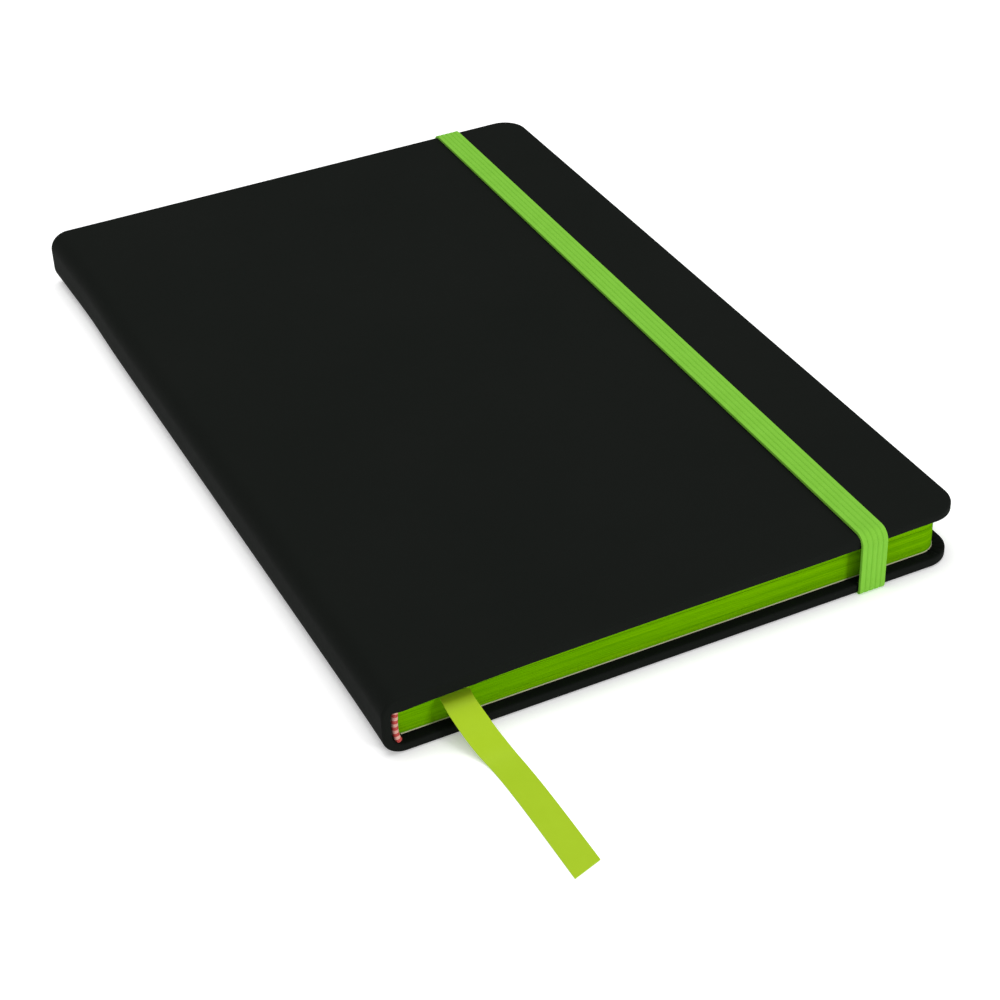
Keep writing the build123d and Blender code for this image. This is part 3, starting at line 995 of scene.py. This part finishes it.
# ---------------------------------------------------------------------------------------
# Page block
# ---------------------------------------------------------------------------------------
@dataclass
class PageBlock:
    """The sewn leaves, one thin leaf repeated up the block by Geometry Nodes."""

    sizes: BookSizes
    leaf_count: int = 98
    leaf_share: float = 0.97
    corner_radius: float = 4.7 * MM
    lean: float = 0.1 * MM
    back_round: float = 2.1 * MM
    jitter: float = 0.02 * MM
    corner_steps: int = 10
    seed: int = 7

    def leaf(self) -> bpy.types.Object:
        """One leaf as a closed slab at height zero, its fore edge at the block's."""
        sizes = self.sizes
        back_x = min(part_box(section)[0][0] for section in SECTIONS)
        radius = self.corner_radius
        outline = [(back_x, -sizes.page_half_height)]
        centre_x = sizes.page_fore_x - radius
        centre_y = sizes.page_half_height - radius
        for side, first_turn in ((-1, -math.pi / 2), (1, 0.0)):
            for quarter in quarter_turn(self.corner_steps):
                turn = first_turn + quarter
                y = side * centre_y + radius * math.sin(turn)
                outline.append((centre_x + radius * math.cos(turn), y))
        outline.append((back_x, sizes.page_half_height))
        count = len(outline)
        thickness = (sizes.block_top_z - sizes.block_bottom_z) / self.leaf_count * self.leaf_share
        points = [(x, y, 0.0) for x, y in outline] + [(x, y, thickness) for x, y in outline]
        faces = [tuple(reversed(range(count))), tuple(range(count, 2 * count))]
        for k in range(count):
            beside = (k + 1) % count
            faces.append((k, beside, count + beside, count + k))
        return mesh_piece("page_block", points, faces, smooth=False)

    def stack_tree(self, page: bpy.types.Material, edge: bpy.types.Material) -> bpy.types.NodeTree:
        """The tree that repeats a leaf up the block, with a rounded back and a little unevenness.

        Args:
            page: finish of a leaf's two faces.
            edge: finish of its cut edges.

        Returns:
            The Geometry Nodes tree.
        """
        labels = ("First Height", "Last Height", "Fore Edge", "Leaf Width", "Back Round", "Jitter")
        inputs = {"Geometry": "Geometry", "Leaf Count": "Int"}
        inputs |= {label: "Float" for label in (*labels, "Lean", "Parting")}
        nodes, given, finish = new_tree("Leaf Stack", "Geometry", inputs, {"Geometry": "Geometry"})
        span = nodes.maths("SUBTRACT", given["Last Height"], given["First Height"])
        pitch = nodes.maths("DIVIDE", span, given["Leaf Count"])
        first = nodes.add("ShaderNodeCombineXYZ", {"Z": given["First Height"]})
        step = nodes.add("ShaderNodeCombineXYZ", {"Z": pitch})
        line = nodes.add(
            "GeometryNodeMeshLine",
            {"Count": given["Leaf Count"], "Start Location": first.outputs[0], "Offset": step.outputs[0]},
        )
        place = nodes.add("GeometryNodeInputPosition")
        height = nodes.add("ShaderNodeSeparateXYZ", {0: place.outputs[0]}).outputs["Z"]
        over = nodes.maths("GREATER_THAN", nodes.maths("ADD", height, pitch), given["Parting"])
        under = nodes.maths("LESS_THAN", height, given["Parting"])
        parted = nodes.add(
            "GeometryNodeDeleteGeometry",
            {"Geometry": line.outputs[0], "Selection": nodes.maths("MULTIPLY", over, under)},
        )
        below = nodes.maths("SUBTRACT", height, given["First Height"])
        above = nodes.maths("SUBTRACT", given["Last Height"], height)
        near = nodes.maths("MINIMUM", nodes.maths("MINIMUM", below, above), given["Back Round"])
        gap = nodes.maths("SUBTRACT", given["Back Round"], near)
        whole = nodes.maths("POWER", given["Back Round"], 2.0)
        squares = nodes.maths("SUBTRACT", whole, nodes.maths("POWER", gap, 2.0))
        setback = nodes.maths("SUBTRACT", given["Back Round"], nodes.maths("SQRT", squares))
        rise = nodes.maths("SUBTRACT", 1.0, nodes.maths("DIVIDE", below, span))
        slack = nodes.maths("MULTIPLY", given["Lean"], rise)
        width = nodes.maths("SUBTRACT", nodes.maths("SUBTRACT", given["Leaf Width"], setback), slack)
        share = nodes.maths("DIVIDE", width, given["Leaf Width"])
        lost = nodes.maths("MULTIPLY", nodes.maths("SUBTRACT", 1.0, share), given["Fore Edge"])
        lost = nodes.maths("SUBTRACT", lost, slack)
        low = nodes.maths("MULTIPLY", given["Jitter"], -1.0)
        shifts = []
        for seed in (self.seed, self.seed + 1):
            limits = {2: low, 3: given["Jitter"], "Seed": seed}
            random = nodes.add("FunctionNodeRandomValue", limits, data_type="FLOAT")
            shifts.append(random.outputs[1])
        shift = nodes.add("ShaderNodeCombineXYZ", {"X": nodes.maths("ADD", lost, shifts[0]), "Y": shifts[1]})
        moved = nodes.add("GeometryNodeSetPosition", {"Offset": shift.outputs[0]})
        scale = nodes.add("ShaderNodeCombineXYZ", {"X": share, "Y": 1.0, "Z": 1.0})
        kept = nodes.add("GeometryNodeCaptureAttribute", {"Geometry": parted.outputs[0]})
        kept.capture_items.new("VECTOR", "Scale")
        nodes.link(scale.outputs[0], kept, "Scale")
        nodes.link(kept.outputs["Geometry"], moved, "Geometry")
        leaves = nodes.add(
            "GeometryNodeInstanceOnPoints",
            {"Points": moved.outputs[0], "Instance": given["Geometry"], "Scale": kept.outputs["Scale"]},
        )
        real = nodes.add("GeometryNodeRealizeInstances", {"Geometry": leaves.outputs[0]})
        normal = nodes.add("GeometryNodeInputNormal")
        upright = nodes.add("ShaderNodeSeparateXYZ", {0: normal.outputs[0]}).outputs["Z"]
        flat = nodes.maths("GREATER_THAN", nodes.maths("ABSOLUTE", upright), 0.5)
        edged = nodes.add("GeometryNodeSetMaterial", {"Geometry": real.outputs[0], "Material": edge})
        paged = nodes.add(
            "GeometryNodeSetMaterial",
            {"Geometry": edged.outputs[0], "Selection": flat, "Material": page},
        )
        nodes.link(paged.outputs[0], finish, 0)
        return nodes.tree

    def dress(self, materials: dict[str, bpy.types.Material]) -> bpy.types.Object:
        """Build the block of leaves with its dyed edges."""
        sizes = self.sizes
        piece = self.leaf()
        leaf_width = max(v.co.x for v in piece.data.vertices) - min(v.co.x for v in piece.data.vertices)
        tree = self.stack_tree(materials["page"], materials["dyed_edge"])
        ribbon_low, ribbon_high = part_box("ribbon_inside")
        values = {
            "Leaf Count": self.leaf_count,
            "First Height": sizes.block_bottom_z,
            "Last Height": sizes.block_top_z,
            "Fore Edge": sizes.page_fore_x,
            "Leaf Width": leaf_width,
            "Back Round": self.back_round,
            "Jitter": self.jitter,
            "Lean": self.lean,
            "Parting": (ribbon_low[2] + ribbon_high[2]) / 2,
        }
        run_tree(piece, tree, values)
        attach(piece, "text_block")
        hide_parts(*SECTIONS)
        return piece


@dataclass
class Headband:
    """The striped bead sewn over one end of the spine, thread by thread."""

    sizes: BookSizes
    end: End
    wraps: int = 20
    bead_radius: float = 0.5 * MM
    thread_radius: float = 0.24 * MM
    sides: int = 14
    rim_turns: Sequence[float] = (-0.9, -0.45, 0.0, 0.45, 0.9)
    foot: Point = (3.35 * MM, 1.55 * MM, 2.6 * MM)
    belly: Point = (2.45 * MM, 1.1 * MM, 4.2 * MM)
    top: Point = (3.4 * MM, 0.3 * MM, 9.0 * MM)

    def wrap(self) -> bpy.types.Object:
        """One turn of thread round the bead: a flat drum with a rounded rim, square to Z."""
        profile = [(self.bead_radius, -self.thread_radius)]
        for turn in self.rim_turns:
            reach = self.bead_radius + self.thread_radius * math.cos(turn)
            profile.append((reach, self.thread_radius * math.sin(turn)))
        profile.append((self.bead_radius, self.thread_radius))
        points = []
        for reach, height in profile:
            for side in range(self.sides):
                turn = math.tau * side / self.sides
                points.append((reach * math.cos(turn), reach * math.sin(turn), height))
        faces = grid_faces(len(profile), self.sides, closed=True)
        faces.append(tuple(reversed(range(self.sides))))
        faces.append(tuple(range(len(points) - self.sides, len(points))))
        return mesh_piece(f"{self.end.name.lower()}_bead", points, faces)

    def tree(self, red: bpy.types.Material, white: bpy.types.Material) -> bpy.types.NodeTree:
        """The tree that sets turns of thread side by side along a bowed line.

        Args:
            red: finish of two turns in every four.
            white: finish of the rest.

        Returns:
            The Geometry Nodes tree.
        """
        inputs = {"Geometry": "Geometry", "Wraps": "Int"}
        inputs |= {label: "Vector" for label in ("Start", "Middle", "Finish")}
        name = f"Headband Wraps {self.end.name.title()}"
        nodes, start, finish = new_tree(name, "Geometry", inputs, {"Geometry": "Geometry"})
        curve = nodes.add(
            "GeometryNodeCurveQuadraticBezier",
            {"Resolution": 24, "Start": start["Start"], "Middle": start["Middle"], "End": start["Finish"]},
        )
        points = nodes.add(
            "GeometryNodeCurveToPoints", {"Curve": curve.outputs[0], "Count": start["Wraps"]}, mode="COUNT"
        )
        turned = {"Points": points.outputs[0], "Rotation": points.outputs["Rotation"]}
        wraps = nodes.add("GeometryNodeInstanceOnPoints", {"Instance": start["Geometry"], **turned})
        number = nodes.add("GeometryNodeInputIndex")
        kept = nodes.add("GeometryNodeCaptureAttribute", {"Geometry": wraps.outputs[0]}, domain="INSTANCE")
        kept.capture_items.new("INT", "Number")
        nodes.link(number.outputs[0], kept, "Number")
        real = nodes.add("GeometryNodeRealizeInstances", {"Geometry": kept.outputs["Geometry"]})
        striped = nodes.maths("GREATER_THAN", nodes.maths("MODULO", kept.outputs["Number"], 4.0), 1.5)
        base = nodes.add("GeometryNodeSetMaterial", {"Geometry": real.outputs[0], "Material": red})
        both = nodes.add(
            "GeometryNodeSetMaterial", {"Geometry": base.outputs[0], "Selection": striped, "Material": white}
        )
        nodes.link(both.outputs[0], finish, 0)
        return nodes.tree

    def dress(self, materials: dict[str, bpy.types.Material]) -> bpy.types.Object:
        """Build the bead at its end of the block."""
        sizes = self.sizes
        piece = self.wrap()
        values: dict[str, object] = {"Wraps": self.wraps}
        stations = {"Start": self.foot, "Middle": self.belly, "Finish": self.top}
        for label, (depth, out, height) in stations.items():
            y = self.end.value * (sizes.page_half_height + out)
            values[label] = (sizes.spine_x + depth, y, height)
        run_tree(piece, self.tree(materials["band_red"], materials["band_white"]), values)
        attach(piece, "text_block")
        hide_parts("tailband" if self.end is End.TAIL else "headband")
        return piece


# ---------------------------------------------------------------------------------------
# Elastic closure
# ---------------------------------------------------------------------------------------
@dataclass
class ElasticBand:
    """The ribbed band, from its slot at the tail over the front cover to its slot at the head."""

    sizes: BookSizes
    width: float = 6.3 * MM
    thickness: float = 0.9 * MM
    tucked_thickness: float = 0.42 * MM
    ribs: int = 5
    groove: float = 0.15 * MM
    top_bend: float = 2.3 * MM
    foot_bend: float = 0.75 * MM
    across: int = 61
    tail_shift: float = 0.35 * MM
    slot_inset: float = 4.4 * MM
    leg_gap: float = 0.05 * MM
    foot_gap: float = 0.02 * MM
    slot_heights: tuple[float, float] = (1.2 * MM, 0.35 * MM)
    edge_round: float = 0.05
    edge_height: float = 0.25
    first_groove: float = 0.4
    underside: Sequence[tuple[float, float]] = (
        (1.0, -0.3),
        (0.9, -1.0),
        (0.0, -1.0),
        (-0.9, -1.0),
        (-1.0, -0.3),
    )
    foot_shares: Sequence[float] = (0.1, 0.4, 0.7, 0.92)
    bend_steps: int = 8
    leg_steps: int = 10
    strap_steps: int = 90
    blend_heights: tuple[float, float] = (0.8 * MM, 1.0 * MM)

    def middle_x(self, y: float) -> float:
        """The band's middle at y: it runs a little slantwise from tail to head."""
        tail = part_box("elastic_leg_tail")
        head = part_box("elastic_leg_head")
        tail_x = (tail[0][0] + tail[1][0]) / 2 + self.tail_shift
        head_x = (head[0][0] + head[1][0]) / 2
        share = min(max((y / self.sizes.half_height + 1) / 2, 0.0), 1.0)
        return tail_x + (head_x - tail_x) * share

    def path(self) -> list[tuple[float, float, float, float, float]]:
        """The band's mid-line from the tail slot to the head slot.

        Returns:
            Tuples of y, z, outward y, outward z and the band's thickness there.
        """
        sizes = self.sizes
        tucked, full = self.tucked_thickness, self.thickness
        leg_y = sizes.half_height + self.leg_gap + full / 2
        top_z = sizes.top_z + full / 2
        foot_z = tucked / 2 + self.foot_gap
        slot_y = sizes.half_height - self.slot_inset
        high, low = self.slot_heights
        half = [(-slot_y, foot_z + high, 1.0, 0.0, tucked), (-slot_y, foot_z + low, 0.8, -0.6, tucked)]
        for share in self.foot_shares:
            y = -slot_y + (slot_y - leg_y + self.foot_bend) * share
            half.append((y, foot_z, 0.0, -1.0, tucked))
        for turn in quarter_turn(self.bend_steps):
            y = -leg_y + self.foot_bend * (1 - math.sin(turn))
            z = foot_z + self.foot_bend * (1 - math.cos(turn))
            thick = tucked + (full - tucked) * smoothstep(turn)
            half.append((y, z, -math.sin(turn), -math.cos(turn), thick))
        leg_start, leg_end = foot_z + self.foot_bend, top_z - self.top_bend
        for step in range(1, self.leg_steps):
            z = leg_start + (leg_end - leg_start) * step / self.leg_steps
            half.append((-leg_y, z, -1.0, 0.0, full))
        for turn in quarter_turn(self.bend_steps):
            y = -leg_y + self.top_bend * (1 - math.cos(turn))
            z = top_z - self.top_bend * (1 - math.sin(turn))
            half.append((y, z, -math.cos(turn), math.sin(turn), full))
        strap = []
        inner_y = leg_y - self.top_bend
        for step in range(1, self.strap_steps):
            y = -inner_y + 2 * inner_y * step / self.strap_steps
            strap.append((y, top_z, 0.0, 1.0, full))
        other = [(-y, z, -out_y, out_z, thick) for y, z, out_y, out_z, thick in reversed(half)]
        return half + strap + other

    def section(self) -> list[tuple[float, float]]:
        """The band's section as shares: across from -1 to 1, and height from -1 to 1."""
        top = []
        for step in range(self.across):
            u = -1 + 2 * step / (self.across - 1)
            edge = min(1.0, (1 - abs(u)) / self.edge_round)
            rounding = math.sqrt(max(0.0, 1 - (1 - edge) ** 2))
            phase = (u + 1) / 2 * self.ribs
            inner = self.first_groove < phase < self.ribs - self.first_groove
            valley = (1 - abs(math.sin(math.pi * phase))) ** 2 if inner else 0.0
            height = 1 - 2 * self.groove / self.thickness * valley
            top.append((u, height * (self.edge_height + (1 - self.edge_height) * rounding)))
        return top + list(self.underside)

    def dress(self, materials: dict[str, bpy.types.Material]) -> bpy.types.Object:
        """Build the band and hide the strap, legs and anchors that it stands for."""
        section = self.section()
        path = self.path()
        points, uvs = [], []
        along = 0.0
        before = path[0]
        for station in path:
            y, z, out_y, out_z, thick = station
            along += math.hypot(y - before[0], z - before[1])
            before = station
            middle = self.middle_x(y)
            for u, height in section:
                lift = height * thick / 2
                points.append((middle + u * self.width / 2, y + out_y * lift, z + out_z * lift))
                uvs.append((u * self.width / 2, along))
        count = len(section)
        faces = grid_faces(len(path), count, closed=True)
        faces = [tuple(reversed(face)) for face in faces]
        first = tuple(range(count))
        last = tuple(reversed(range(len(points) - count, len(points))))
        piece = mesh_piece("elastic_closure", points, faces + [first, last], uvs)
        face_outwards(piece)
        sharpen(piece)
        piece.data.materials.append(materials["elastic"])
        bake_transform(piece)
        replaced = ("elastic_strap", "elastic_leg_tail", "elastic_leg_head")
        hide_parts(*replaced, "elastic_anchor_tail", "elastic_anchor_head")
        return piece


# ---------------------------------------------------------------------------------------
# Ribbon marker
# ---------------------------------------------------------------------------------------
@dataclass
class RibbonMarker:
    """The satin ribbon from where it leaves the pages to its slanting cut end."""

    sizes: BookSizes
    width: float = 6.4 * MM
    thickness: float = 0.2 * MM
    length: float = 52.1 * MM
    cut_slant: float = 2.2 * MM
    cut_reach: float = 7.0 * MM
    across: int = 13
    route: Sequence[Point] = (
        (-50.4 * MM, -102.35 * MM, 8.46 * MM),
        (-50.9 * MM, -105.2 * MM, 8.5 * MM),
        (-50.2 * MM, -108.2 * MM, 6.5 * MM),
        (-48.7 * MM, -111.6 * MM, 3.0 * MM),
        (-47.3 * MM, -115.2 * MM, 0.6 * MM),
        (-46.75 * MM, -119.4 * MM, 0.13 * MM),
        (-46.5 * MM, -127.0 * MM, 0.13 * MM),
        (-46.45 * MM, -138.0 * MM, 0.13 * MM),
        (-46.5 * MM, -149.9 * MM, 0.13 * MM),
    )

    def line(self) -> list[Vector]:
        """Points along the ribbon's smooth middle line, from the exit to the cut end."""
        curve = bpy.data.curves.new("ribbon_line", "CURVE")
        curve.dimensions = "3D"
        curve.resolution_u = 24
        spline = curve.splines.new("NURBS")
        spline.points.add(len(self.route) - 1)
        for point, place in zip(spline.points, self.route):
            point.co = (*place, 1.0)
        spline.order_u = 3
        spline.use_endpoint_u = True
        carrier = bpy.data.objects.new("ribbon_line", curve)
        bpy.context.scene.collection.objects.link(carrier)
        graph = bpy.context.evaluated_depsgraph_get()
        mesh = bpy.data.meshes.new_from_object(carrier.evaluated_get(graph))
        points = [vertex.co.copy() for vertex in mesh.vertices]
        bpy.data.objects.remove(carrier)
        bpy.data.curves.remove(curve)
        bpy.data.meshes.remove(mesh)
        return points

    def dress(self, materials: dict[str, bpy.types.Material]) -> bpy.types.Object:
        line = self.line()
        lengths = [0.0]
        for before, here in zip(line, line[1:]):
            lengths.append(lengths[-1] + (here - before).length)
        total = lengths[-1]
        top, bottom, uvs = [], [], []
        for number, here in enumerate(line):
            ahead = line[min(number + 1, len(line) - 1)]
            behind = line[max(number - 1, 0)]
            along = (ahead - behind).normalized()
            side = (Vector((1, 0, 0)) - along * along.x).normalized()
            out = side.cross(along).normalized()
            if out.z < 0:
                out = -out
            slant = smoothstep((lengths[number] - total + self.cut_reach) / self.cut_reach)
            for step in range(self.across):
                u = -1 + 2 * step / (self.across - 1)
                pull = -along * (u * self.cut_slant / 2 * slant)
                place = here + side * (u * self.width / 2) + pull
                selvedge = 0.8 if abs(u) > 0.9 else 1.0
                top.append(place + out * (self.thickness / 2 * selvedge))
                bottom.append(place - out * (self.thickness / 2 * selvedge))
                uvs.append((u * self.width / 2, lengths[number]))
        rows, columns = len(line), self.across
        shift = rows * columns
        faces = grid_faces(rows, columns)
        faces += [tuple(shift + k for k in reversed(face)) for face in grid_faces(rows, columns)]
        for column in range(columns - 1):
            faces.append((column + 1, column, shift + column, shift + column + 1))
            far = (rows - 1) * columns + column
            faces.append((far, far + 1, shift + far + 1, shift + far))
        for row in range(rows - 1):
            left, left_next = row * columns, (row + 1) * columns
            faces.append((left, left_next, shift + left_next, shift + left))
            right, right_next = left + columns - 1, left_next + columns - 1
            faces.append((right_next, right, shift + right, shift + right_next))
        piece = mesh_piece("ribbon_marker", top + bottom, faces, uvs + uvs)
        face_outwards(piece)
        sharpen(piece)
        piece.data.materials.append(materials["ribbon"])
        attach(piece, "text_block")
        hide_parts("ribbon_tail")
        log.info("ribbon line %.1f mm", total / MM)
        return piece


# ---------------------------------------------------------------------------------------
# Frame pieces that keep their own shape
# ---------------------------------------------------------------------------------------
@dataclass
class CarriedNodes:
    """CAD nodes whose shape is right already and which only need their finish."""

    finish_of: dict[str, str] = field(
        default_factory=lambda: {
            "front_board": "board",
            "back_board": "board",
            "spine_card": "board",
            "front_pastedown": "endpaper",
            "back_pastedown": "endpaper",
            "front_flyleaf": "endpaper",
            "back_flyleaf": "endpaper",
            "spine_lining": "endpaper",
            "spine_mull": "mull",
            "sewing_threads": "thread",
            "ribbon_inside": "ribbon",
        }
    )

    def dress(self, materials: dict[str, bpy.types.Material]) -> None:
        """Give each node its finish."""
        for node, finish in self.finish_of.items():
            piece = bpy.data.objects[node]
            if piece.material_slots:
                for slot in piece.material_slots:
                    slot.material = materials[finish]
            else:
                piece.data.materials.append(materials[finish])


# ---------------------------------------------------------------------------------------
# Studio
# ---------------------------------------------------------------------------------------
@dataclass(frozen=True)
class SoftLight:
    """One soft square light that looks at the book."""

    name: str
    place: Point
    size: float
    power: float

    def hang(self) -> None:
        """Put the light into the scene."""
        data = bpy.data.lights.new(self.name, "AREA")
        data.size = self.size
        data.energy = self.power
        light = bpy.data.objects.new(self.name, data)
        light.location = self.place
        light.rotation_mode = "QUATERNION"
        light.rotation_quaternion = (-Vector(self.place)).to_track_quat("-Z", "Y")
        bpy.context.scene.collection.objects.link(light)


@dataclass
class Studio:
    """A pale floor, soft light and the camera."""

    camera_place: Point = (-0.186127, -0.416903, 0.297605)
    yaw: float = 25.074244
    pitch: float = 35.471618
    roll: float = -2.236995
    lens: float = 82.83
    sensor_width: float = 36.0
    clip_start: float = 0.01
    floor_half: float = 30.0
    floor_drop: float = 0.02 * MM
    floor_white: float = 0.93
    floor_roughness: float = 0.9
    floor_specular: float = 0.1
    floor_glow: float = 0.28
    room_light: float = 0.38
    lights: Sequence[SoftLight] = (
        SoftLight("overhead softbox", (-0.1, 0.15, 1.3), 1.2, 14.5),
        SoftLight("right key", (0.48, -1.28, 0.42), 0.28, 7.2),
    )

    def camera(self) -> None:
        """Set the camera at the viewing angle."""
        yaw, pitch, roll = (math.radians(angle) for angle in (self.yaw, self.pitch, self.roll))
        level_reach = math.cos(pitch)
        forward = Vector((math.sin(yaw) * level_reach, math.cos(yaw) * level_reach, -math.sin(pitch)))
        level = Vector((math.cos(yaw), -math.sin(yaw), 0.0))
        upright = level.cross(forward)
        right = math.cos(roll) * level + math.sin(roll) * upright
        up = -math.sin(roll) * level + math.cos(roll) * upright
        turned = Matrix((right, up, -forward)).transposed().to_4x4()
        data = bpy.data.cameras.new("camera")
        data.lens = self.lens
        data.sensor_width = self.sensor_width
        data.clip_start = self.clip_start
        camera = bpy.data.objects.new("camera", data)
        camera.matrix_world = Matrix.Translation(self.camera_place) @ turned
        bpy.context.scene.collection.objects.link(camera)
        bpy.context.scene.camera = camera

    def floor(self) -> None:
        """Lay the pale floor just under the book."""
        half, z = self.floor_half, -self.floor_drop
        corners = [(-half, -half, z), (half, -half, z), (half, half, z), (-half, half, z)]
        floor = mesh_piece("floor", corners, [(0, 1, 2, 3)], smooth=False)
        material = bpy.data.materials.new("Pale floor")
        material.use_nodes = True
        shader = material.node_tree.nodes["Principled BSDF"]
        shader.inputs["Base Color"].default_value = (*[self.floor_white] * 3, 1.0)
        shader.inputs["Roughness"].default_value = self.floor_roughness
        shader.inputs["Specular IOR Level"].default_value = self.floor_specular
        shader.inputs["Emission Color"].default_value = (1.0, 1.0, 1.0, 1.0)
        shader.inputs["Emission Strength"].default_value = self.floor_glow
        floor.data.materials.append(material)

    def light(self) -> None:
        """Light the book from a pale room, a soft light overhead and a key at its right front."""
        world = bpy.data.worlds.new("studio")
        world.use_nodes = True
        background = world.node_tree.nodes["Background"]
        background.inputs["Color"].default_value = (1.0, 1.0, 1.0, 1.0)
        background.inputs["Strength"].default_value = self.room_light
        bpy.context.scene.world = world
        for light in self.lights:
            light.hang()

    def build(self) -> None:
        """Set up the camera, floor, light and colour."""
        self.camera()
        self.floor()
        self.light()
        bpy.context.scene.view_settings.view_transform = "Standard"


def main() -> None:
    """Build every piece in order."""
    logging.basicConfig(level=logging.INFO, format="%(name)s: %(message)s")
    sizes = BookSizes.from_frame()
    Studio().build()
    effects = Effects()
    materials = {name: finish.build(effects) for name, finish in finishes(sizes).items()}
    parts: list[Callable[[dict[str, bpy.types.Material]], object]] = [
        RibbonMarker(sizes).dress,
        CarriedNodes().dress,
        CaseHalf(sizes, Face.FRONT).dress,
        CaseHalf(sizes, Face.BACK).dress,
        HingePaper(sizes, Face.FRONT).dress,
        HingePaper(sizes, Face.BACK).dress,
        PageBlock(sizes).dress,
        Headband(sizes, End.TAIL).dress,
        Headband(sizes, End.HEAD).dress,
        ElasticBand(sizes).dress,
    ]
    for dress in parts:
        piece = dress(materials)
        if isinstance(piece, bpy.types.Object):
            log.info("%s: %d faces", piece.name, len(piece.data.polygons))


if __name__ == "__main__":
    main()
